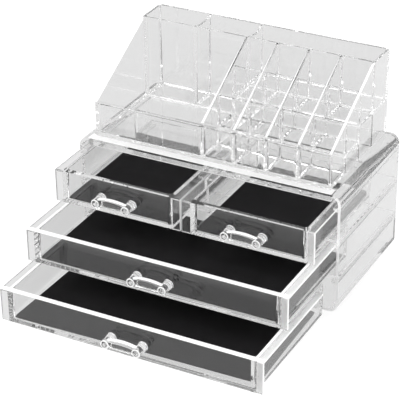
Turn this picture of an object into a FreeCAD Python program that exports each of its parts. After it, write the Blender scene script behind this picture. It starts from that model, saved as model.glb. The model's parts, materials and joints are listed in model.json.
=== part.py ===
import FreeCAD, Part
import os

# Clear acrylic makeup organizer: a drawer cabinet with a divided tray standing on it.
# Millimetres. +Z is up, the drawers open towards -Y, and the origin is the centre of the cabinet's underside.

# ---- Cabinet ----
CABINET_WIDTH = 240.0
CABINET_DEPTH = 123.0
CABINET_HEIGHT = 108.0
CABINET_CORNER = 8.5          # outer radius of the four long edges
CABINET_WALL = 2.4
BACK_THICKNESS = 2.0
RIM_DEPTH = 13.0              # stiffening strip bonded under the front edge of the roof
RIM_DROP = 3.8

# ---- Levels: three rows of drawers, one above another ----
LEVEL_COUNT = 3
FIRST_LEVEL = 2.9             # underside of the bottom drawer
LEVEL_PITCH = 33.0
DRAWER_HEIGHT = 28.8
SHELF_THICKNESS = 2.4

# ---- Drawers ----
FRONT_THICKNESS = 2.8
FRONT_HALF_WIDTH = 117.2
FRONT_GAP = 0.3               # between a closed front and the cabinet's front edge
SMALL_FRONT_GAP = 1.4         # between the two small fronts
DRAWER_WALL = 2.4
DRAWER_FLOOR = 1.6
BODY_HALF_WIDTH = 111.4       # outside of the drawer body's outer side walls
BODY_INNER_OFFSET = 8.0       # from the middle to a small body's inner side wall
REAR_CLEARANCE = 0.7
FLANGE_THICKNESS = 2.0        # lip along the top of each side wall, which the drawer hangs from
FLANGE_SHORT_OF_REAR = 13.0
PAD_THICKNESS = 1.8
PAD_CLEARANCE = 0.6
PAD_CORNER = 3.0
TURN_UP_LEFT = 7.8            # how high a small drawer's pad turns up against the rear wall
TURN_UP_RIGHT = 5.0

# ---- How far each drawer stands open, as the organizer is displayed ----
OPEN_SMALL = 41.3
OPEN_MIDDLE = 88.5
OPEN_BOTTOM = 131.1

# ---- Drawer runners ----
RUNNER_WIDTH = 4.0
RUNNER_THICKNESS = 2.0
RUNNER_CLEARANCE = 0.2        # under the flange
CENTRE_WEB = 2.4
CENTRE_CAP_WIDTH = 14.0

# ---- Handles ----
HANDLE_SPACING = 28.0
HANDLE_POST_DIAMETER = 8.8    # at the drawer's front
HANDLE_TIP_DIAMETER = 7.6
HANDLE_REACH = 12.0
HANDLE_BELOW_MIDDLE = 1.5
HANDLE_BAR_THICKNESS = 6.0
HANDLE_BAR_END_HEIGHT = 6.6
HANDLE_BAR_MIDDLE_HEIGHT = 8.6
HANDLE_BAR_SET_BACK = 0.8

# ---- Top tray ----
TRAY_HALF_WIDTH = 107.8
TRAY_FRONT = -54.0
TRAY_BACK = 60.5
TRAY_HEIGHT = 76.5
TRAY_WALL = 2.0
TRAY_FLOOR = 2.4
TRAY_CORNER = 3.0             # rounded upper corners of the back wall
MIDDLE_WALL_Y = 29.4
SIDE_FRONT_HEIGHT = 31.5      # the slanted sides end this high at the front
FRONT_WALL_HEIGHT = 29.5
LIPSTICK_COLUMNS = 4
LIPSTICK_ROWS = 3
LIPSTICK_LEFT = -7.8          # middle of the divider that begins the lipstick stand
TIER_RISE = 15.0
BACK_DIVIDER_X = -58.0
DIP_DEPTH = 3.0               # how far the back dividers' upper edges dip

# ---- Worked out from the above ----
HALF_WIDTH = CABINET_WIDTH / 2
FRONT_Y = -CABINET_DEPTH / 2
BACK_Y = CABINET_DEPTH / 2
INNER_X = HALF_WIDTH - CABINET_WALL
INNER_TOP = CABINET_HEIGHT - CABINET_WALL
INNER_BACK = BACK_Y - BACK_THICKNESS
PANEL_BACK_Y = FRONT_Y - FRONT_GAP          # back face of a closed front
BODY_REAR_Y = INNER_BACK - REAR_CLEARANCE   # rear of a closed drawer
TRAY_BASE = CABINET_HEIGHT
TRAY_TOP = TRAY_BASE + TRAY_HEIGHT


def box(x0, x1, y0, y1, z0, z1):
    """A block between two opposite corners."""
    return Part.makeBox(x1 - x0, y1 - y0, z1 - z0, FreeCAD.Vector(x0, y0, z0))


def rounded_prism(half_width, z0, z1, radius, y0, y1):
    """A bar along Y whose upright section is a rectangle with rounded corners."""
    bar = box(-half_width, half_width, y0, y1, z0, z1)
    long_edges = [e for e in bar.Edges if abs(e.tangentAt(e.FirstParameter).y) > 0.9]
    return bar.makeFillet(radius, long_edges)


def rounded_plate(x0, x1, y0, y1, z0, z1, radius):
    """A flat plate with rounded upright corners."""
    plate = box(x0, x1, y0, y1, z0, z1)
    upright_edges = [e for e in plate.Edges if abs(e.tangentAt(e.FirstParameter).z) > 0.9]
    return plate.makeFillet(radius, upright_edges)


def upright_panel(outline, x0, x1):
    """A panel of constant thickness along X from its (y, z) outline."""
    points = [FreeCAD.Vector(x0, y, z) for y, z in outline]
    face = Part.Face(Part.makePolygon(points + points[:1]))
    return face.extrude(FreeCAD.Vector(x1 - x0, 0, 0))


def write_node(name, *solids):
    """Writes one sub-part, which may be a group of separate solids."""
    shape = solids[0] if len(solids) == 1 else Part.makeCompound(list(solids))
    shape.exportStep("parts/" + name + ".step")


def level_z(level):
    """Underside of the drawers on a level, counted from the bottom."""
    return FIRST_LEVEL + level * LEVEL_PITCH


def slant_height(y):
    """Height of the tray's slanted upper edges above its base at a given depth."""
    share = (y - TRAY_FRONT) / (MIDDLE_WALL_Y - TRAY_FRONT)
    return SIDE_FRONT_HEIGHT + share * (TRAY_HEIGHT - SIDE_FRONT_HEIGHT)


# ---- Cabinet pieces ----

def make_shell():
    """The rounded tube that is floor, sides and roof in one."""
    outside = rounded_prism(HALF_WIDTH, 0, CABINET_HEIGHT, CABINET_CORNER, FRONT_Y, BACK_Y)
    inside = rounded_prism(INNER_X, CABINET_WALL, INNER_TOP, CABINET_CORNER - CABINET_WALL, FRONT_Y, BACK_Y)
    return outside.cut(inside)


def make_rim():
    """The strip that stiffens the roof's front edge, from corner to corner."""
    flat_half = HALF_WIDTH - CABINET_CORNER
    return box(-flat_half, flat_half, FRONT_Y, FRONT_Y + RIM_DEPTH, INNER_TOP - RIM_DROP, INNER_TOP)


def make_back():
    """The back panel, set into the rear of the shell."""
    return rounded_prism(INNER_X, CABINET_WALL, INNER_TOP, CABINET_CORNER - CABINET_WALL, INNER_BACK, BACK_Y)


def shelf_span(level):
    """Underside and top of the shelf between a level and the one above it."""
    gap = LEVEL_PITCH - DRAWER_HEIGHT
    underside = level_z(level) + DRAWER_HEIGHT + (gap - SHELF_THICKNESS) / 2
    return underside, underside + SHELF_THICKNESS


def make_shelf(level):
    """A full shelf from side to side."""
    underside, top = shelf_span(level)
    return box(-INNER_X, INNER_X, FRONT_Y, INNER_BACK, underside, top)


def runner_top(level):
    """Top of the runners that carry the flanges of a level's drawers."""
    return level_z(level) + DRAWER_HEIGHT - FLANGE_THICKNESS - RUNNER_CLEARANCE


def make_runners(level):
    """The left and right runner strips on the cabinet's inner sides."""
    top = runner_top(level)
    left = box(-INNER_X, -INNER_X + RUNNER_WIDTH, FRONT_Y, INNER_BACK, top - RUNNER_THICKNESS, top)
    right = box(INNER_X - RUNNER_WIDTH, INNER_X, FRONT_Y, INNER_BACK, top - RUNNER_THICKNESS, top)
    return left, right


def make_centre_rail():
    """The T-shaped rail on the upper shelf, which carries the inner flanges of both small drawers."""
    top = runner_top(LEVEL_COUNT - 1)
    foot = shelf_span(LEVEL_COUNT - 2)[1]
    web = box(-CENTRE_WEB / 2, CENTRE_WEB / 2, FRONT_Y, INNER_BACK, foot, top - RUNNER_THICKNESS)
    cap = box(-CENTRE_CAP_WIDTH / 2, CENTRE_CAP_WIDTH / 2, FRONT_Y, INNER_BACK, top - RUNNER_THICKNESS, top)
    return web.fuse(cap).removeSplitter()


# ---- Drawer pieces ----

def make_body(x0, x1, flange_left, flange_right, z0, shift):
    """An open box with an outward flange along the top of both sides; shift moves it along Y."""
    y0 = PANEL_BACK_Y + shift
    y1 = BODY_REAR_Y + shift
    top = z0 + DRAWER_HEIGHT
    body = box(x0, x1, y0, y1, z0, top)
    hollow = rounded_plate(x0 + DRAWER_WALL, x1 - DRAWER_WALL, y0 + DRAWER_WALL, y1 - DRAWER_WALL,
                           z0 + DRAWER_FLOOR, top, PAD_CORNER)
    flange_end = y1 - FLANGE_SHORT_OF_REAR
    left = box(flange_left, x0, y0, flange_end, top - FLANGE_THICKNESS, top)
    right = box(x1, flange_right, y0, flange_end, top - FLANGE_THICKNESS, top)
    return body.cut(hollow).fuse([left, right]).removeSplitter()


def make_front(x0, x1, z0, shift):
    """The flat front panel, bonded to the drawer body."""
    y1 = PANEL_BACK_Y + shift
    return box(x0, x1, y1 - FRONT_THICKNESS, y1, z0, z0 + DRAWER_HEIGHT)


def make_handle(x_middle, z0, shift):
    """Two round posts, a little slimmer at the tip, joined there by a bar that is higher in the middle."""
    root = PANEL_BACK_Y - FRONT_THICKNESS + shift
    z = z0 + DRAWER_HEIGHT / 2 - HANDLE_BELOW_MIDDLE
    outward = FreeCAD.Vector(0, -1, 0)
    half = HANDLE_SPACING / 2
    posts = [Part.makeCone(HANDLE_POST_DIAMETER / 2, HANDLE_TIP_DIAMETER / 2, HANDLE_REACH,
                           FreeCAD.Vector(x_middle + side * half, root, z), outward)
             for side in (-1, 1)]
    bar_y = root - HANDLE_REACH + HANDLE_BAR_SET_BACK
    end = HANDLE_BAR_END_HEIGHT / 2
    left_low = FreeCAD.Vector(x_middle - half, bar_y, z - end)
    left_high = FreeCAD.Vector(x_middle - half, bar_y, z + end)
    right_low = FreeCAD.Vector(x_middle + half, bar_y, z - end)
    right_high = FreeCAD.Vector(x_middle + half, bar_y, z + end)
    crown = FreeCAD.Vector(x_middle, bar_y, z - end + HANDLE_BAR_MIDDLE_HEIGHT)
    upper = Part.Arc(left_high, crown, right_high).toShape()
    outline = Part.Wire([Part.makeLine(left_low, left_high), upper,
                         Part.makeLine(right_high, right_low), Part.makeLine(right_low, left_low)])
    bar = Part.Face(outline).extrude(FreeCAD.Vector(0, HANDLE_BAR_THICKNESS, 0))
    return posts[0].fuse([posts[1], bar]).removeSplitter()


def make_pad(x0, x1, z0, shift, turn_up):
    """The soft liner on the drawer's floor; it may turn up against the rear wall, between the corners."""
    inset = DRAWER_WALL + PAD_CLEARANCE
    floor = z0 + DRAWER_FLOOR
    left = x0 + inset
    right = x1 - inset
    front = PANEL_BACK_Y + shift + inset
    rear = BODY_REAR_Y + shift - inset
    pad = rounded_plate(left, right, front, rear, floor, floor + PAD_THICKNESS, PAD_CORNER)
    if turn_up:
        left += PAD_CORNER
        right -= PAD_CORNER
        raised = box(left, right, rear - PAD_THICKNESS, rear, floor, floor + turn_up)
        pad = pad.fuse(raised).removeSplitter()
    return pad


def write_drawer(name, side, level, opening, turn_up=0.0):
    """All four pieces of one drawer: side is -1 left, 1 right, or 0 for the full width."""
    z0 = level_z(level)
    shift = -opening
    if side == 0:
        body = (-BODY_HALF_WIDTH, BODY_HALF_WIDTH)
        front = (-FRONT_HALF_WIDTH, FRONT_HALF_WIDTH)
    else:
        body = tuple(sorted((side * BODY_INNER_OFFSET, side * BODY_HALF_WIDTH)))
        front = tuple(sorted((side * SMALL_FRONT_GAP / 2, side * FRONT_HALF_WIDTH)))
    write_node(name + "_body", make_body(*body, *front, z0, shift))
    write_node(name + "_front", make_front(*front, z0, shift))
    write_node(name + "_handle", make_handle(sum(front) / 2, z0, shift))
    write_node(name + "_pad", make_pad(*body, z0, shift, turn_up))


# ---- Top tray pieces ----

def column_x(index):
    """Middle of a lipstick divider; the last one is the tray's right side."""
    last = TRAY_HALF_WIDTH - TRAY_WALL / 2
    return LIPSTICK_LEFT + index * (last - LIPSTICK_LEFT) / LIPSTICK_COLUMNS


def row_y(index):
    """Front face of a cross wall of the lipstick stand, counted from the front."""
    return TRAY_FRONT + index * (MIDDLE_WALL_Y - TRAY_FRONT) / LIPSTICK_ROWS


def tier_floor(row):
    """Height of a lipstick floor above the tray's base."""
    return TRAY_FLOOR + row * TIER_RISE


def side_outline(y0, y1, foot):
    """Side view of a panel under the slant, from foot up, between two depths."""
    base = TRAY_BASE
    outline = [(y0, base + foot), (y1, base + foot), (y1, base + slant_height(min(y1, MIDDLE_WALL_Y)))]
    if y1 > MIDDLE_WALL_Y:
        outline.append((MIDDLE_WALL_Y, TRAY_TOP))
    outline.append((y0, base + slant_height(y0)))
    return outline


def make_tray_side(side):
    """A slanted outer side that runs the tray's whole depth."""
    outer = side * TRAY_HALF_WIDTH
    inner = side * (TRAY_HALF_WIDTH - TRAY_WALL)
    outline = side_outline(TRAY_FRONT, TRAY_BACK - TRAY_WALL, 0)
    return upright_panel(outline, min(outer, inner), max(outer, inner))


def make_tray_back():
    """The upright back wall, behind both sides, with its upper corners rounded."""
    wall = box(-TRAY_HALF_WIDTH, TRAY_HALF_WIDTH, TRAY_BACK - TRAY_WALL, TRAY_BACK, TRAY_BASE, TRAY_TOP)
    corners = [e for e in wall.Edges
               if abs(e.tangentAt(e.FirstParameter).y) > 0.9 and e.CenterOfMass.z > TRAY_TOP - 1]
    return wall.makeFillet(TRAY_CORNER, corners)


def make_tray_front():
    """The low front wall, between the sides."""
    inner = TRAY_HALF_WIDTH - TRAY_WALL
    return box(-inner, inner, TRAY_FRONT, TRAY_FRONT + TRAY_WALL, TRAY_BASE, TRAY_BASE + FRONT_WALL_HEIGHT)


def make_middle_wall():
    """The tall wall in front of the back row, which stands on the left floor and elsewhere on the base."""
    inner = TRAY_HALF_WIDTH - TRAY_WALL
    step = LIPSTICK_LEFT - TRAY_WALL / 2
    y0 = MIDDLE_WALL_Y
    outline = [(-inner, TRAY_BASE + TRAY_FLOOR), (step, TRAY_BASE + TRAY_FLOOR), (step, TRAY_BASE),
               (inner, TRAY_BASE), (inner, TRAY_TOP), (-inner, TRAY_TOP)]
    points = [FreeCAD.Vector(x, y0, z) for x, z in outline]
    face = Part.Face(Part.makePolygon(points + points[:1]))
    return face.extrude(FreeCAD.Vector(0, TRAY_WALL, 0))


def make_left_floor():
    """The floor under the large front compartment and the two left compartments of the back row."""
    return box(-TRAY_HALF_WIDTH + TRAY_WALL, LIPSTICK_LEFT - TRAY_WALL / 2,
               TRAY_FRONT + TRAY_WALL, TRAY_BACK - TRAY_WALL, TRAY_BASE, TRAY_BASE + TRAY_FLOOR)


def make_tier_floor(row):
    """The floor of one lipstick row; the row after the last is the back row's right compartment."""
    y0 = row_y(row) + TRAY_WALL
    y1 = row_y(row + 1) if row < LIPSTICK_ROWS else TRAY_BACK - TRAY_WALL
    top = TRAY_BASE + tier_floor(min(row, LIPSTICK_ROWS - 1))
    return box(LIPSTICK_LEFT + TRAY_WALL / 2, TRAY_HALF_WIDTH - TRAY_WALL, y0, y1, top - TRAY_FLOOR, top)


def make_row_wall(row):
    """A cross wall from the base up, the riser to its row, slotted above its floor for the dividers."""
    y0 = row_y(row)
    x0 = LIPSTICK_LEFT + TRAY_WALL / 2
    top = TRAY_BASE + slant_height(y0)
    wall = box(x0, TRAY_HALF_WIDTH - TRAY_WALL, y0, y0 + TRAY_WALL, TRAY_BASE, top)
    slots = []
    for index in range(1, LIPSTICK_COLUMNS):
        left = column_x(index) - TRAY_WALL / 2
        slots.append(box(left, left + TRAY_WALL, y0, y0 + TRAY_WALL, TRAY_BASE + tier_floor(row), top))
    return wall.cut(slots)


def make_section_divider():
    """The slanted divider between the large front compartment and the lipstick stand."""
    outline = side_outline(TRAY_FRONT + TRAY_WALL, MIDDLE_WALL_Y, 0)
    return upright_panel(outline, LIPSTICK_LEFT - TRAY_WALL / 2, LIPSTICK_LEFT + TRAY_WALL / 2)


def make_lipstick_divider(index):
    """A slanted divider between two lipstick columns, stepped below to stand on the three floors."""
    outline = [(TRAY_FRONT + TRAY_WALL, TRAY_BASE + tier_floor(0))]
    for row in range(1, LIPSTICK_ROWS):
        outline.append((row_y(row), TRAY_BASE + tier_floor(row - 1)))
        outline.append((row_y(row), TRAY_BASE + tier_floor(row)))
    outline.append((MIDDLE_WALL_Y, TRAY_BASE + tier_floor(LIPSTICK_ROWS - 1)))
    outline.append((MIDDLE_WALL_Y, TRAY_TOP))
    outline.append((TRAY_FRONT + TRAY_WALL, TRAY_BASE + slant_height(TRAY_FRONT + TRAY_WALL)))
    middle = column_x(index)
    return upright_panel(outline, middle - TRAY_WALL / 2, middle + TRAY_WALL / 2)


def make_back_divider(middle, foot):
    """A divider of the back row, whose upper edge dips in an arc."""
    x0 = middle - TRAY_WALL / 2
    y0 = MIDDLE_WALL_Y + TRAY_WALL
    y1 = TRAY_BACK - TRAY_WALL
    low_front = FreeCAD.Vector(x0, y0, TRAY_BASE + foot)
    low_back = FreeCAD.Vector(x0, y1, TRAY_BASE + foot)
    high_back = FreeCAD.Vector(x0, y1, TRAY_TOP)
    high_front = FreeCAD.Vector(x0, y0, TRAY_TOP)
    dip = FreeCAD.Vector(x0, (y0 + y1) / 2, TRAY_TOP - DIP_DEPTH)
    dipped = Part.Arc(high_back, dip, high_front).toShape()
    outline = Part.Wire([Part.makeLine(low_front, low_back), Part.makeLine(low_back, high_back),
                         dipped, Part.makeLine(high_front, low_front)])
    return Part.Face(outline).extrude(FreeCAD.Vector(TRAY_WALL, 0, 0))


# ---- Write every node ----

os.makedirs("parts", exist_ok=True)

write_node("cabinet_shell", make_shell())
write_node("cabinet_rim", make_rim())
write_node("cabinet_back", make_back())
write_node("centre_rail", make_centre_rail())
for level, level_name in enumerate(("lower", "middle", "upper")):
    write_node("runners_" + level_name, *make_runners(level))
for level, level_name in enumerate(("lower", "upper")):
    write_node("shelf_" + level_name, make_shelf(level))

write_drawer("small_left", -1, 2, OPEN_SMALL, TURN_UP_LEFT)
write_drawer("small_right", 1, 2, OPEN_SMALL, TURN_UP_RIGHT)
write_drawer("middle_drawer", 0, 1, OPEN_MIDDLE)
write_drawer("bottom_drawer", 0, 0, OPEN_BOTTOM)

write_node("tray_back_wall", make_tray_back())
write_node("tray_front_wall", make_tray_front())
write_node("tray_middle_wall", make_middle_wall())
write_node("tray_side_left", make_tray_side(-1))
write_node("tray_side_right", make_tray_side(1))
write_node("tray_floor", make_left_floor())
write_node("back_divider_left", make_back_divider(BACK_DIVIDER_X, TRAY_FLOOR))
write_node("back_divider_right", make_back_divider(LIPSTICK_LEFT, 0))
write_node("section_divider", make_section_divider())
for index in range(1, LIPSTICK_COLUMNS):
    write_node("lipstick_divider_" + str(index), make_lipstick_divider(index))
for row in range(1, LIPSTICK_ROWS):
    write_node("row_wall_" + str(row + 1), make_row_wall(row))
for row, row_name in enumerate(("first", "second", "third", "back")):
    write_node("tier_floor_" + row_name, make_tier_floor(row))
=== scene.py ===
import json

import bmesh
import bpy
import numpy as np
from mathutils import Matrix, Vector


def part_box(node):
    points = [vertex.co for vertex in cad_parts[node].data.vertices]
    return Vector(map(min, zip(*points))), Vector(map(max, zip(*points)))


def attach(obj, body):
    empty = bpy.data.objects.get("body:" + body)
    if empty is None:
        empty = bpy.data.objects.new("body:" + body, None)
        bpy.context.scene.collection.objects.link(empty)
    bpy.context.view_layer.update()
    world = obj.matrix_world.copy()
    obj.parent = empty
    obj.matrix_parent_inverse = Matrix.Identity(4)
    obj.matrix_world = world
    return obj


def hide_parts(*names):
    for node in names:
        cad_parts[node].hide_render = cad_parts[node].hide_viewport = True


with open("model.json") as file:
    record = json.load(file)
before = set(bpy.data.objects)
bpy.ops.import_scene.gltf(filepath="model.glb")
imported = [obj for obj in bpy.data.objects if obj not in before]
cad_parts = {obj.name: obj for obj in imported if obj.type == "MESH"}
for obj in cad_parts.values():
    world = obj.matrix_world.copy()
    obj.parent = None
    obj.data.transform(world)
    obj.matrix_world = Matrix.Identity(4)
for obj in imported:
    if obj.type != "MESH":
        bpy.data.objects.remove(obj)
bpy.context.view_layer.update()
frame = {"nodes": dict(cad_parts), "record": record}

scene = bpy.context.scene
scene.view_settings.view_transform = "Standard"
bodies = frame["record"]["behaviour"]["bodies"]
MM = 0.001


# ---- Cabinet ----
# One rounded tube of clear moulded acrylic, with its back panel, shelves, runner strips and centre rail
# welded in with solvent. A welded joint has no air in it, so light passes it as if the plastic were one,
# and here the parts are joined into one skin.

def linear(code):
    """An sRGB hex colour as linear red, green, blue and alpha, with each channel to the power 2.4 above its
    toe."""
    channels = np.array([int(code[i:i + 2], 16) for i in (0, 2, 4)]) / 255
    straight = channels / 12.92
    curved = ((channels + 0.055) / 1.055) ** 2.4
    return (*np.where(channels <= 0.04045, straight, curved), 1.0)


def add(tree, kind, inputs=(), **settings):
    """Adds one node: settings are its own properties, and each input takes a value or another node's
    output."""
    made = tree.nodes.new(kind)
    for name, value in settings.items():
        setattr(made, name, value)
    for name, value in dict(inputs).items():
        if isinstance(value, bpy.types.NodeSocket):
            tree.links.new(value, made.inputs[name])
        else:
            made.inputs[name].default_value = value
    return made


def new_material(name):
    """An empty node material and its tree."""
    material = bpy.data.materials.new(name)
    material.use_nodes = True
    material.node_tree.nodes.clear()
    return material, material.node_tree


# Acrylic (PMMA), moulded between polished dies. It bends light as 1.49 does, takes a faint grey from the
# thickness of each wall, and its faces have the long, very shallow ripple that cooling leaves in a moulding.
ACRYLIC_TINT = "fdfdfd"
ACRYLIC_SHADE = (0.95, 0.95, 0.95, 1.0)     # what one face lets a lamp's light through
ACRYLIC_IOR = 1.49
RIPPLE_PITCH = 26 * MM
RIPPLE_DEPTH = 0.4 * MM
RIPPLE_STRENGTH = 0.03
SCUFF_PITCH = 3 * MM
SCUFF_FROM = 0.55             # the scuff noise above this roughens the surface
SCUFF_FULL = 0.8
SCUFF_ROUGHNESS = 0.012

acrylic, tree = new_material("clear moulded acrylic")
place = add(tree, "ShaderNodeTexCoord").outputs["Object"]
ripple = add(tree, "ShaderNodeTexNoise", {"Vector": place, "Scale": 1 / RIPPLE_PITCH, "Detail": 1.0})
bump = add(tree, "ShaderNodeBump", {"Height": ripple.outputs["Fac"], "Strength": RIPPLE_STRENGTH,
                                    "Distance": RIPPLE_DEPTH})
scuff = add(tree, "ShaderNodeTexNoise", {"Vector": place, "Scale": 1 / SCUFF_PITCH, "Detail": 3.0})
haze = add(tree, "ShaderNodeMapRange", {"Value": scuff.outputs["Fac"], "From Min": SCUFF_FROM,
                                        "From Max": SCUFF_FULL, "To Min": 0.0, "To Max": SCUFF_ROUGHNESS})
plastic = add(tree, "ShaderNodeBsdfPrincipled",
              {"Base Color": linear(ACRYLIC_TINT), "Roughness": haze.outputs["Result"], "IOR": ACRYLIC_IOR,
               "Transmission Weight": 1.0, "Normal": bump.outputs["Normal"]})
let_through = add(tree, "ShaderNodeBsdfTransparent", {"Color": ACRYLIC_SHADE})
rays = add(tree, "ShaderNodeLightPath")
seen = add(tree, "ShaderNodeMixShader", {0: rays.outputs["Is Shadow Ray"], 1: plastic.outputs["BSDF"],
                                         2: let_through.outputs["BSDF"]})
add(tree, "ShaderNodeOutputMaterial", {"Surface": seen.outputs["Shader"]})

# The same acrylic where a wall ends: the cut or parted edge is satin, and it scatters the light that runs
# inside the plastic, so every rim shows as a pale line. On the drawers' right-hand side the same white finish
# is a painted highlight.
SATIN_TINT = "ffffff"
SATIN_CLEAR = 0.25            # share of light that still passes straight in
SATIN_SMOOTHEST = 0.2
SATIN_ROUGHEST = 0.45

satin, tree = new_material("satin acrylic edge and painted highlight")
place = add(tree, "ShaderNodeTexCoord").outputs["Object"]
grain = add(tree, "ShaderNodeTexNoise", {"Vector": place, "Scale": 1 / SCUFF_PITCH, "Detail": 2.0})
rough = add(tree, "ShaderNodeMapRange", {"Value": grain.outputs["Fac"], "To Min": SATIN_SMOOTHEST,
                                         "To Max": SATIN_ROUGHEST})
frost = add(tree, "ShaderNodeBsdfPrincipled",
            {"Base Color": linear(SATIN_TINT), "Roughness": rough.outputs["Result"], "IOR": ACRYLIC_IOR,
             "Transmission Weight": SATIN_CLEAR})
let_through = add(tree, "ShaderNodeBsdfTransparent", {"Color": ACRYLIC_SHADE})
rays = add(tree, "ShaderNodeLightPath")
seen = add(tree, "ShaderNodeMixShader", {0: rays.outputs["Is Shadow Ray"], 1: frost.outputs["BSDF"],
                                         2: let_through.outputs["BSDF"]})
add(tree, "ShaderNodeOutputMaterial", {"Surface": seen.outputs["Shader"]})

SEAM = 0.002 * MM             # points closer than this are one
FLAT = 0.01                   # radians: faces that turn less than this are one
CORNER_TURN = 0.7             # radians: a fold sharper than this is an edge
EDGE_ROUND = 0.25 * MM
NARROW = 3.2 * MM             # a face narrower than this between two edges is the end of a wall
FACES_UP = 0.95               # a face whose normal's height is above this faces straight up
FACES_SIDE = 0.9              # a face whose normal is this much along a side belongs to that side
FILLET_STEPS = 3
ROUND_STEPS = 2
ROUND_PROFILE = 0.5           # a bevel's profile that is an arc of a circle


def merged_copy(node):
    """An object with a copy of a CAD node's mesh, merged into one shell, and clear acrylic's two finishes."""
    mesh = frame["nodes"][node].data.copy()
    shape = bmesh.new()
    shape.from_mesh(mesh)
    bmesh.ops.remove_doubles(shape, verts=shape.verts, dist=SEAM / 2)
    shape.to_mesh(mesh)
    shape.free()
    mesh.materials.clear()
    mesh.materials.append(acrylic)
    mesh.materials.append(satin)
    copy = bpy.data.objects.new(node + "_copy", mesh)
    scene.collection.objects.link(copy)
    return copy


def joined(objects):
    """One closed mesh: the first object takes in the others by exact union, and they are then removed."""
    for other in objects[1:]:
        union = objects[0].modifiers.new("weld", "BOOLEAN")
        union.operation = "UNION"
        union.solver = "EXACT"
        union.object = other
    bpy.context.view_layer.update()
    mesh = bpy.data.meshes.new_from_object(objects[0].evaluated_get(bpy.context.evaluated_depsgraph_get()))
    for part in objects:
        bpy.data.objects.remove(part)
    return mesh


UP = (0.0, 0.0, 1.0)
FRONT = (0.0, -1.0, 0.0)
CLEAR = 0
# the second finish: satin, and on the drawers' right-hand side a painted highlight
SATIN_AND_PAINTED_HIGHLIGHT = 1


def holds(low, high, point):
    """Whether the box between two corners holds a point."""
    return all(low[i] < point[i] < high[i] for i in range(3))


def finished(mesh, fillet=0.0, inner=None, scored=(), boxes=(), level_ends=SATIN_AND_PAINTED_HIGHLIGHT,
             rounding=(EDGE_ROUND, SATIN_AND_PAINTED_HIGHLIGHT), welded=None):
    """Flat faces are made whole, wall ends get the satin finish (those that face straight up can have
    another), inside corners get the mould's fillet, all of them or those in the inner box, and outside edges
    are rounded finely. The outermost faces on a side can be scored along a line, given as an axis and a place
    on it, and the faces whose middle is in a box get that box's finish. Fillets in the welded box are
    satin."""
    shape = bmesh.new()
    shape.from_mesh(mesh)
    bmesh.ops.remove_doubles(shape, verts=shape.verts, dist=SEAM)
    bmesh.ops.dissolve_limit(shape, angle_limit=FLAT, verts=shape.verts, edges=shape.edges)
    sharp = {edge for edge in shape.edges if edge.calc_face_angle(0) > CORNER_TURN}
    for face in shape.faces:
        long_edges = [edge for edge in face.edges if edge.calc_length() > NARROW]
        width = 2 * face.calc_area() / face.calc_perimeter()
        wall_end = width < NARROW and bool(long_edges) and all(edge in sharp for edge in long_edges)
        end = level_ends if face.normal.z > FACES_UP else SATIN_AND_PAINTED_HIGHLIGHT
        face.material_index = end if wall_end else CLEAR
    for side, axis, place in scored:
        side = Vector(side)
        reach = max(vertex.co.dot(side) for vertex in shape.verts) - SEAM
        outer = [face for face in shape.faces
                 if face.normal.dot(side) > FACES_SIDE and face.calc_center_median().dot(side) > reach]
        around = {part for face in outer for part in (*face.edges, *face.verts)}
        across = Vector([float(axis == i) for i in range(3)])
        bmesh.ops.bisect_plane(shape, geom=outer + list(around), plane_co=across * place, plane_no=across)
    for low, high, finish in boxes:
        for face in shape.faces:
            if holds(low, high, face.calc_center_median()):
                face.material_index = finish
    if fillet:
        inside = [edge for edge in shape.edges if not edge.is_convex and edge.calc_face_angle(0) > CORNER_TURN
                  and edge.calc_length() > 2 * fillet
                  and (inner is None or holds(*inner, (edge.verts[0].co + edge.verts[1].co) / 2))]
        made = bmesh.ops.bevel(shape, geom=inside, offset=fillet, offset_type="OFFSET", segments=FILLET_STEPS,
                               profile=ROUND_PROFILE, affect="EDGES", clamp_overlap=False, material=CLEAR)
        for face in made["faces"]:
            if welded and holds(*welded, face.calc_center_median()):
                face.material_index = SATIN_AND_PAINTED_HIGHLIGHT
    outside = [edge for edge in shape.edges if edge.is_convex and edge.calc_face_angle(0) > CORNER_TURN]
    bmesh.ops.bevel(shape, geom=outside, offset=rounding[0], offset_type="OFFSET", segments=ROUND_STEPS,
                    profile=ROUND_PROFILE, affect="EDGES", clamp_overlap=True, material=rounding[1])
    shape.to_mesh(mesh)
    shape.free()


def clear_piece(name, mesh, body, nodes):
    """Puts a clear moulding in the scene, in place of its nodes."""
    piece = bpy.data.objects.new(name, mesh)
    scene.collection.objects.link(piece)
    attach(piece, body)
    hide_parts(*nodes)


cabinet_mesh = joined([merged_copy(node) for node in bodies["cabinet"]])
shell_low, shell_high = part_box("cabinet_shell")
rim_low, rim_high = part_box("cabinet_rim")
band_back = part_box("tray_front_wall")[1][1]     # the roof's top is satin from its front edge to here
cuts = [(UP, 1, band_back), (FRONT, 0, rim_low[0]), (FRONT, 0, rim_high[0])]
band = ((shell_low[0], shell_low[1], shell_high[2] - SEAM),
        (shell_high[0], band_back, shell_high[2] + SEAM), SATIN_AND_PAINTED_HIGHLIGHT)
rim_face = ((rim_low[0], rim_low[1] - SEAM, rim_low[2]),
            (rim_high[0], rim_low[1] + SEAM, shell_high[2]), CLEAR)
finished(cabinet_mesh, scored=cuts, boxes=[band, rim_face])
clear_piece("cabinet_clear", cabinet_mesh, "cabinet", bodies["cabinet"])


# ---- Top tray ----
# The open tray: walls, dividers and stepped floors are one clear moulding with a fillet in every inside
# corner, so that it leaves its mould. Only its sloping tops are satin. It stands loose on the cabinet, and
# a tenth of a millimetre of air stays between them.
TRAY_FILLET = 2.2 * MM
TRAY_EDGE_ROUND = 0.4 * MM
TRAY_GAP = 0.1 * MM

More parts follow.
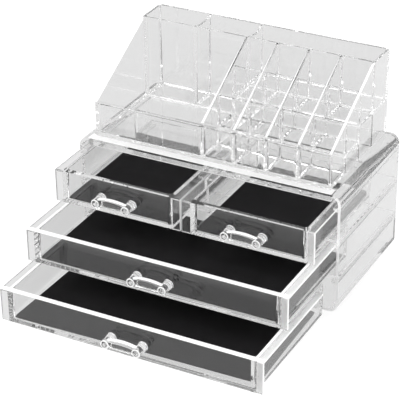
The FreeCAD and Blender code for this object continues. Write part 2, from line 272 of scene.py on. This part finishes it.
tray_mesh = joined([merged_copy(node) for node in bodies["top_tray"]])
finished(tray_mesh, TRAY_FILLET, level_ends=CLEAR, rounding=(TRAY_EDGE_ROUND, CLEAR))
tray_mesh.transform(Matrix.Translation((0, 0, TRAY_GAP)))
clear_piece("tray_clear", tray_mesh, "top_tray", bodies["top_tray"])


# ---- Drawers ----
# Four clear boxes, two small ones over two as wide as the cabinet, each with a wider front welded on. Satin
# are the fillets along the weld and, on the two wide ones, the tops of the walls and front. The back of the
# front's right-hand end (but for the small left one) and, on the two wide ones, the underside of the
# right-hand flange carry a painted
# highlight: the white satin finish, on the right-hand side only.
DRAWERS = {"small_left": "small_left_drawer", "small_right": "small_right_drawer",
           "middle_drawer": "middle_drawer", "bottom_drawer": "bottom_drawer"}

DRAWER_FILLET = 1.5 * MM
DRAWER_WALL = 2.4 * MM
FRONT_DEPTH = 2.8 * MM
FLANGE_THICKNESS = 2.0 * MM
WIDE = 150 * MM               # a drawer wider than this is one of the two wide ones
NEAR_MIDDLE = 20 * MM         # a front's right-hand end nearer the cabinet's middle than this gets no painted highlight and stays clear
PAD_GAP = 0.6 * MM            # between the pad's place and the walls

for drawer, body in DRAWERS.items():
    nodes = [drawer + "_body", drawer + "_front"]
    box_mesh = joined([merged_copy(node) for node in nodes])
    low, high = (np.array(corner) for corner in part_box(drawer + "_body"))
    left, front = np.array(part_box(drawer + "_pad")[0])[:2] - PAD_GAP
    right, rear = np.array(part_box(drawer + "_pad")[1])[:2] + PAD_GAP
    cuts = [(UP, 0, left - DRAWER_WALL), (UP, 0, left), (UP, 0, right), (UP, 0, right + DRAWER_WALL),
            (UP, 1, front), (UP, 1, rear)]
    strips = [((low[0], low[1] - FRONT_DEPTH), (high[0], front)),
              ((left - DRAWER_WALL, rear), (right + DRAWER_WALL, high[1])),
              ((left - DRAWER_WALL, low[1]), (left, high[1])),
              ((right, low[1]), (right + DRAWER_WALL, high[1]))]
    outer_right = right + DRAWER_WALL
    plate_low, plate_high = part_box(drawer + "_front")
    under = high[2] - FLANGE_THICKNESS
    wide = high[0] - low[0] > WIDE
    satin_and_painted_highlight_faces = [((*near, high[2] - SEAM), (*far, high[2] + SEAM), SATIN_AND_PAINTED_HIGHLIGHT) for near, far in strips if wide]
    # Painted highlight: the back of the front's right-hand end, and on the wide drawers the underside of the
    # right-hand flange, take the white satin finish on the right-hand side only.
    if outer_right > NEAR_MIDDLE:
        satin_and_painted_highlight_faces.append(((outer_right, low[1] - SEAM, plate_low[2]),
                            (plate_high[0], low[1] + SEAM, plate_high[2]), SATIN_AND_PAINTED_HIGHLIGHT))
    if wide:
        satin_and_painted_highlight_faces.append(((outer_right, low[1], under - SEAM), (high[0], high[1], under + SEAM), SATIN_AND_PAINTED_HIGHLIGHT))
    inner = ((left - SEAM, front - SEAM, low[2]), (right + SEAM, rear + SEAM, high[2]))
    weld = ((low[0], low[1], low[2]), (high[0], front + DRAWER_FILLET, high[2]))
    finished(box_mesh, DRAWER_FILLET, inner, cuts, satin_and_painted_highlight_faces, CLEAR, welded=weld)
    clear_piece(drawer + "_box", box_mesh, body, nodes)


# ---- Handles ----
# A clear moulded bow: two round posts glued to the drawer's front, each with a frosted collar at its foot and
# a dished tip whose rim is frosted, and between them a bar, level below, arched and frosted above.
GLUE = 0.05 * MM
POST_RADIUS = 4.4 * MM
TIP_RADIUS = 3.8 * MM
POST_TURNS = 48               # points round a post
POST_WAIST = 0.3 * MM         # how far the middle of a post is drawn in
COLLAR = 1.2 * MM
RIM_ROUND = 0.6 * MM
RIM_LENGTH = 2.2 * MM
DISH_DEPTH = 2.2 * MM
ROLL_POINTS = 9               # points of the profile round the rim
ROLL_CLEAR = 3                # of those, how many at the dish's side aren't frosted
DISH_POINTS = 8               # points of the profile into the dish, both its ends among them
BAR_SET_BACK = 0.8 * MM
BAR_THICKNESS = 6.0 * MM
BAR_END_HEIGHT = 6.6 * MM
BAR_MIDDLE_HEIGHT = 8.6 * MM
BAR_STEPS = 33                # sections along the bar
BAR_TURNS = 48                # points round a section
BAR_POWER = 3                 # of the superellipse that is the bar's section
FROSTED_TOP = 0.9             # a section's points where the sine is above this are frosted


def surface_object(name, points, faces, satin_and_painted_highlight_faces=None):
    """An object from points and faces, turned outwards; satin_and_painted_highlight_faces marks those with the second finish."""
    mesh = bpy.data.meshes.new(name)
    mesh.from_pydata(points, [], faces)
    if satin_and_painted_highlight_faces is not None:
        mesh.materials.append(acrylic)
        mesh.materials.append(satin)
        mesh.polygons.foreach_set("material_index", np.asarray(satin_and_painted_highlight_faces, np.int32))
    shape = bmesh.new()
    shape.from_mesh(mesh)
    bmesh.ops.recalc_face_normals(shape, faces=shape.faces)
    shape.to_mesh(mesh)
    shape.free()
    made = bpy.data.objects.new(name, mesh)
    scene.collection.objects.link(made)
    return made


def ring_faces(rings, turns):
    """Quads between rings of points that follow one another, ring after ring, each closed on itself."""
    here = np.arange(turns)
    after = (here + 1) % turns
    rows = np.arange(rings - 1)[:, None] * turns
    return np.dstack([rows + here, rows + after, rows + turns + after, rows + turns + here]).reshape(-1, 4)


def post(name, centre_x, centre_z, root, tip):
    """A solid of revolution about a line along Y: x = centre + r cos a, z = centre + r sin a, y = depth. The
    profile r(depth) goes out along the foot, along the collar and the waist, round the rim by a half circle,
    and into the dish as a cosine; its two ends are single poles."""
    roll = np.linspace(0, np.pi, ROLL_POINTS)
    dish = np.linspace(0, 1, DISH_POINTS)[1:-1]
    rim = TIP_RADIUS - RIM_ROUND
    stem = [POST_RADIUS, POST_RADIUS, POST_RADIUS - POST_WAIST, TIP_RADIUS - POST_WAIST, TIP_RADIUS]
    radii = np.concatenate([stem, rim + RIM_ROUND * np.cos(roll), (rim - RIM_ROUND) * (1 - dish)])
    depths = np.concatenate([[root, root - COLLAR, root - COLLAR - POST_WAIST, tip + RIM_LENGTH + POST_WAIST,
                              tip + RIM_LENGTH], tip + RIM_ROUND * (1 - np.sin(roll)),
                             tip + RIM_ROUND + DISH_DEPTH * (1 - np.cos(np.pi * dish)) / 2])
    frosted = np.zeros(len(radii) - 1, int)
    frosted[0] = 1
    frosted[len(stem):len(stem) + ROLL_POINTS - ROLL_CLEAR] = 1
    angle = np.linspace(0, 2 * np.pi, POST_TURNS, endpoint=False)
    rings = np.dstack([centre_x + np.outer(radii, np.cos(angle)),
                       np.repeat(depths, POST_TURNS).reshape(-1, POST_TURNS),
                       centre_z + np.outer(radii, np.sin(angle))]).reshape(-1, 3)
    poles = [[centre_x, root, centre_z], [centre_x, tip + RIM_ROUND + DISH_DEPTH, centre_z]]
    here = np.arange(POST_TURNS)
    after = (here + 1) % POST_TURNS
    last = len(rings) - POST_TURNS
    foot = np.column_stack([np.full(POST_TURNS, len(rings)), after, here])
    centre = np.column_stack([np.full(POST_TURNS, len(rings) + 1), last + here, last + after])
    faces = ring_faces(len(radii), POST_TURNS).tolist() + foot.tolist() + centre.tolist()
    marks = np.concatenate([np.repeat(frosted, POST_TURNS), np.zeros(2 * POST_TURNS, int)])
    return surface_object(name, np.vstack([rings, poles]), faces, marks)


def bar(name, left, right, centre_y, foot):
    """A bar along X. Its section is a superellipse, |y/a|^n + |z/b|^n = 1 with n = BAR_POWER, and its height
    grows from the ends to the middle as one minus a square, all of it upwards."""
    angle = np.linspace(0, 2 * np.pi, BAR_TURNS, endpoint=False)
    share = np.linspace(-1, 1, BAR_STEPS)
    height = BAR_END_HEIGHT + (BAR_MIDDLE_HEIGHT - BAR_END_HEIGHT) * (1 - share ** 2)
    across = np.sign(np.cos(angle)) * np.abs(np.cos(angle)) ** (2 / BAR_POWER)
    upright = np.sign(np.sin(angle)) * np.abs(np.sin(angle)) ** (2 / BAR_POWER)
    x = np.repeat((left + right) / 2 + share * (right - left) / 2, BAR_TURNS).reshape(BAR_STEPS, BAR_TURNS)
    y = np.tile(centre_y + BAR_THICKNESS / 2 * across, (BAR_STEPS, 1))
    z = foot + height[:, None] / 2 + np.outer(height / 2, upright)
    here = np.arange(BAR_TURNS)
    ends = [here[::-1].tolist(), ((BAR_STEPS - 1) * BAR_TURNS + here).tolist()]
    marks = np.concatenate([np.tile(np.sin(angle) > FROSTED_TOP, BAR_STEPS - 1), [0, 0]]).astype(int)
    faces = ring_faces(BAR_STEPS, BAR_TURNS).tolist() + ends
    return surface_object(name, np.dstack([x, y, z]).reshape(-1, 3), faces, marks)


for drawer, body in DRAWERS.items():
    low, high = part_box(drawer + "_handle")
    centre_z = low[2] + POST_RADIUS
    posts = (low[0] + POST_RADIUS, high[0] - POST_RADIUS)
    parts = [post(drawer + "_post", x, centre_z, high[1] - GLUE, low[1]) for x in posts]
    bar_middle = low[1] + BAR_SET_BACK + BAR_THICKNESS / 2
    parts.append(bar(drawer + "_bar", *posts, bar_middle, centre_z - BAR_END_HEIGHT / 2))
    handle_mesh = joined(parts)
    handle_mesh.shade_smooth()
    handle_mesh.set_sharp_from_angle(angle=CORNER_TURN)
    clear_piece(drawer + "_bow", handle_mesh, body, [drawer + "_handle"])


# ---- Fleece pads ----
# A loose pad of black fleece over thin foam lies on each drawer's floor, with soft edges thinner than its
# middle. In the two small drawers it is cut too long and turns up at the rear, and in the bottom one it
# lies a little askew.
PAD_LIFT = 0.05 * MM          # air between the pad and the drawer's floor
PAD_THICKNESS = 1.8 * MM
PAD_STEP = 3 * MM
PAD_CORNER = 3 * MM
PAD_PULL = 0.4 * MM           # how far the sides pull in between the corners
PAD_BEND = 2.0 * MM           # middle radius where a pad turns up against the rear wall
GRID_CROWDING = 0.98          # towards one, the grid's lines stand closer at the pad's edges
CORNER_POWER = 24             # the higher, the nearer the corner its rounding begins
CORNER_DRAW = 0.3             # share of the corner's radius that it is drawn in by
SIDE_POWER = 8                # the higher, the nearer the side its pull begins
EDGE_POWER = 40               # the higher, the tighter the edge
SIDES_SHARE = 0.82            # the pad's thickness at its sides, as a share of that in the middle
DOME_SHARE = 0.18             # what the dome adds to that towards the middle
TURN_UP_MIDDLE = 0.86         # height of the turned-up end at its middle, as a share of that at its sides
TURN_UP_SIDES = 0.14          # what its sides add to that
LIES_OFF = {"bottom_drawer": (0.028, 5 * MM)}   # the share its rear is narrower by, its right end's set-back


def pad_surface(low, high, narrower=0.0, set_back=0.0):
    """A pillow on a grid of two parameters u, v from -1 to 1. In plan the grid is the pad's rectangle with
    its corners drawn in and its sides pulled in as a cosine. Front to back it follows a path: level, a
    quarter circle, then upright, if the pad's place is higher than the pad is thick. Across that path its
    half thickness is t / 2 sqrt(1 - max(|u|, |v|)^EDGE_POWER), times a cosine dome on the upper side."""
    half = (high[:2] - low[:2]) / 2
    middle = (high[:2] + low[:2]) / 2
    thick = PAD_THICKNESS - PAD_LIFT
    rise = high[2] - low[2] - PAD_THICKNESS
    turned = rise > PAD_BEND
    level = 2 * half[1] - (PAD_BEND + thick / 2 if turned else 0)
    count = (2 * half / PAD_STEP).astype(int) + (1, 5 if turned else 1)
    u, v = (np.sin(np.linspace(-np.pi / 2, np.pi / 2, lines) * GRID_CROWDING)
            / np.sin(np.pi / 2 * GRID_CROWDING) for lines in count)
    u, v = np.meshgrid(u, v, indexing="ij")
    edge = np.maximum(np.abs(u), np.abs(v))
    corner = (np.abs(u) * np.abs(v)) ** CORNER_POWER
    pulled = 1 - PAD_PULL / half[0] * np.cos(np.pi * v / 2) * np.abs(u) ** SIDE_POWER
    width = pulled * (1 - narrower * (1 + v) / 2)
    x = middle[0] + half[0] * u * width - np.sign(u) * CORNER_DRAW * PAD_CORNER * corner
    sag = TURN_UP_MIDDLE + TURN_UP_SIDES * np.abs(u) ** 2
    upright = (rise - PAD_BEND + thick / 2) * sag if turned else 0.0
    length = level + (PAD_BEND * np.pi / 2 + upright if turned else 0.0)
    start = set_back * (1 + u) / 2
    run = start + (length - start) * (1 + v) / 2
    pull = PAD_PULL * np.cos(np.pi * u / 2) * np.abs(v) ** SIDE_POWER
    run -= (pull + CORNER_DRAW * PAD_CORNER * corner) * np.sign(v)
    turn = np.clip((run - level) / PAD_BEND, 0, np.pi / 2)
    above = np.maximum(run - level - PAD_BEND * np.pi / 2, 0) * turned
    y = low[1] + np.minimum(run, level) + (PAD_BEND * np.sin(turn) if turned else 0.0)
    z = low[2] + PAD_LIFT + thick / 2 + PAD_BEND * (1 - np.cos(turn)) * turned + above
    lean = turn * turned
    dome = SIDES_SHARE + DOME_SHARE * np.cos(np.pi * u / 2) * np.cos(np.pi * v / 2)
    body = thick / 2 * (1 - edge ** EDGE_POWER) ** 0.5
    top = np.dstack([x, y - np.sin(lean) * body * dome, z + np.cos(lean) * body * dome])
    bottom = np.dstack([x, y + np.sin(lean) * body, z - np.cos(lean) * body])
    return top, bottom


def pillow(name, low, high, *lie):
    """Top and bottom grids share their outer ring; the faces of the bottom run the other way round."""
    top, bottom = pad_surface(low, high, *lie)
    rows, columns = top.shape[:2]
    index = np.arange(rows * columns).reshape(rows, columns)
    inner = np.zeros((rows, columns), bool)
    inner[1:-1, 1:-1] = True
    under = index.copy()
    under[inner] = rows * columns + np.arange(inner.sum())
    points = np.vstack([top.reshape(-1, 3), bottom[inner]])
    over = np.dstack([index[:-1, :-1], index[1:, :-1], index[1:, 1:], index[:-1, 1:]]).reshape(-1, 4)
    below = np.dstack([under[:-1, :-1], under[:-1, 1:], under[1:, 1:], under[1:, :-1]]).reshape(-1, 4)
    return surface_object(name, points, over.tolist() + below.tolist())


# Fleece (brushed polyester), black. Its nap of short fibres stands in small tufts and throws almost no
# highlight, so it shows as a soft, slightly mottled black.
FLEECE_DARK = "0b0a0b"
FLEECE_LIGHT = "171618"
TUFT_PITCH = 1.2 * MM
MOTTLE_PITCH = 14 * MM

fleece, tree = new_material("black polyester fleece")
place = add(tree, "ShaderNodeTexCoord").outputs["Object"]
tufts = add(tree, "ShaderNodeTexNoise", {"Vector": place, "Scale": 1 / TUFT_PITCH, "Detail": 4.0,
                                         "Roughness": 0.7})
mottle = add(tree, "ShaderNodeTexNoise", {"Vector": place, "Scale": 1 / MOTTLE_PITCH, "Detail": 2.0})
tone = add(tree, "ShaderNodeMath", {0: tufts.outputs["Fac"], 1: mottle.outputs["Fac"]}, operation="MULTIPLY")
shade = add(tree, "ShaderNodeMapRange", {"Value": tone.outputs[0], "From Min": 0.1, "From Max": 0.45})
colour = add(tree, "ShaderNodeMix", {"Factor": shade.outputs["Result"]}, data_type="RGBA")
colour.inputs["A"].default_value = linear(FLEECE_DARK)
colour.inputs["B"].default_value = linear(FLEECE_LIGHT)
nap = add(tree, "ShaderNodeBump", {"Height": tufts.outputs["Fac"], "Strength": 0.6, "Distance": 0.3 * MM})
cloth = add(tree, "ShaderNodeBsdfPrincipled",
            {"Base Color": colour.outputs["Result"], "Roughness": 1.0, "Specular IOR Level": 0.08,
             "Sheen Weight": 0.04, "Sheen Roughness": 0.6, "Normal": nap.outputs["Normal"]})
add(tree, "ShaderNodeOutputMaterial", {"Surface": cloth.outputs["BSDF"]})

for drawer, body in DRAWERS.items():
    low, high = (np.array(corner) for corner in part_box(drawer + "_pad"))
    pad = pillow(drawer + "_fleece", low, high, *LIES_OFF.get(drawer, ()))
    pad.data.materials.append(fleece)
    pad.data.shade_smooth()
    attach(pad, body)
    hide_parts(drawer + "_pad")


# ---- Floor, light and camera ----
# A white paper sweep under an even white studio: two large soft lamps over the object, and white all round,
# which clear plastic needs so that its edges draw themselves.
FLOOR_HALF = 6.0
FLOOR_DROP = 0.2 * MM

floor_mesh = bpy.data.meshes.new("floor")
floor_corners = ((-1, -1), (1, -1), (1, 1), (-1, 1))
floor_mesh.from_pydata([(x * FLOOR_HALF, y * FLOOR_HALF, -FLOOR_DROP) for x, y in floor_corners],
                       [], [(0, 1, 2, 3)])
floor = bpy.data.objects.new("floor", floor_mesh)
scene.collection.objects.link(floor)


# Matt white paper. Where it is seen, part of its white is given directly, so the object's shadow is light;
# through clear plastic it shows a light grey, as the studio round it does.
PAPER = "f3f3f3"
GIVEN_WHITE = 0.82            # light the paper gives of itself where it is seen
SHADED_WHITE = 0.25           # share of the room's and lamps' light it reflects there
GIVEN_THROUGH = 0.68          # the same two where it is seen through plastic
SHADED_THROUGH = 0.08

paper, tree = new_material("white paper sweep")
rays = add(tree, "ShaderNodeLightPath")
seen = add(tree, "ShaderNodeMath", {0: rays.outputs["Is Camera Ray"], 1: rays.outputs["Is Glossy Ray"]},
           operation="MAXIMUM")
through = rays.outputs["Is Transmission Ray"]
white = add(tree, "ShaderNodeMapRange", {"Value": through, "To Min": GIVEN_WHITE, "To Max": GIVEN_THROUGH})
shade = add(tree, "ShaderNodeMapRange", {"Value": through, "To Min": SHADED_WHITE, "To Max": SHADED_THROUGH})
lit = add(tree, "ShaderNodeBsdfDiffuse", {"Color": linear(PAPER)})
shaded = add(tree, "ShaderNodeBsdfDiffuse", {"Color": shade.outputs["Result"]})
given = add(tree, "ShaderNodeEmission", {"Strength": white.outputs["Result"]})
shown = add(tree, "ShaderNodeAddShader", {0: shaded.outputs[0], 1: given.outputs[0]})
either = add(tree, "ShaderNodeMixShader", {0: seen.outputs[0], 1: lit.outputs[0], 2: shown.outputs[0]})
add(tree, "ShaderNodeOutputMaterial", {"Surface": either.outputs[0]})
floor_mesh.materials.append(paper)

STUDIO = (0.76, 0.76, 0.76, 1.0)    # the room through clear plastic
LIGHT = (1.0, 1.0, 1.0, 1.0)        # the room everywhere else

world = bpy.data.worlds.new("studio")
scene.world = world
world.use_nodes = True
tree = world.node_tree
tree.nodes.clear()
rays = add(tree, "ShaderNodeLightPath")
studio = add(tree, "ShaderNodeBackground", {"Color": STUDIO})
white = add(tree, "ShaderNodeBackground", {"Color": LIGHT})
either = add(tree, "ShaderNodeMixShader", {0: rays.outputs["Is Transmission Ray"], 1: white.outputs[0],
                                           2: studio.outputs[0]})
add(tree, "ShaderNodeOutputWorld", {"Surface": either.outputs[0]})

LAMP_AIM = Vector((0, -0.05, 0.08))
LAMPS = (("key", (-1.0, -0.6, 1.6), 1.2, 14),     # name, place and size in metres, power in watts
         ("fill", (1.2, -0.5, 1.4), 1.0, 7))
for name, place, size, power in LAMPS:
    lamp = bpy.data.lights.new(name, "AREA")
    lamp.size = size
    lamp.energy = power
    holder = bpy.data.objects.new(name, lamp)
    scene.collection.objects.link(holder)
    holder.location = place
    holder.rotation_euler = (LAMP_AIM - Vector(place)).to_track_quat("-Z", "Y").to_euler()

# Light crosses many thin walls before it leaves clear plastic, and its total reflections inside a wall count
# as glossy ones.
CLEAR_BOUNCES = 256
scene.cycles.max_bounces = CLEAR_BOUNCES
scene.cycles.transmission_bounces = CLEAR_BOUNCES
scene.cycles.transparent_max_bounces = CLEAR_BOUNCES
scene.cycles.glossy_bounces = CLEAR_BOUNCES

AZIMUTH, ELEVATION, ROLL = np.radians([27.95, 28.96, -0.63])
CAMERA_PLACE = (0.57913, -1.16364, 0.76492)
SENSOR = 36.0
IMAGE_WIDTH = 400
FOCAL_PIXELS = 1727.73

forward = np.array([-np.sin(AZIMUTH) * np.cos(ELEVATION), np.cos(AZIMUTH) * np.cos(ELEVATION),
                    -np.sin(ELEVATION)])
level = np.array([np.cos(AZIMUTH), np.sin(AZIMUTH), 0.0])
upward = np.cross(level, forward)
pose = np.eye(4)
pose[:3, 0] = np.cos(ROLL) * level + np.sin(ROLL) * upward
pose[:3, 1] = np.cos(ROLL) * upward - np.sin(ROLL) * level
pose[:3, 2] = -forward
pose[:3, 3] = CAMERA_PLACE
camera = bpy.data.objects.new("camera", bpy.data.cameras.new("camera"))
scene.collection.objects.link(camera)
camera.matrix_world = Matrix(pose.tolist())
camera.data.sensor_width = SENSOR
camera.data.lens = FOCAL_PIXELS / IMAGE_WIDTH * SENSOR
scene.camera = camera
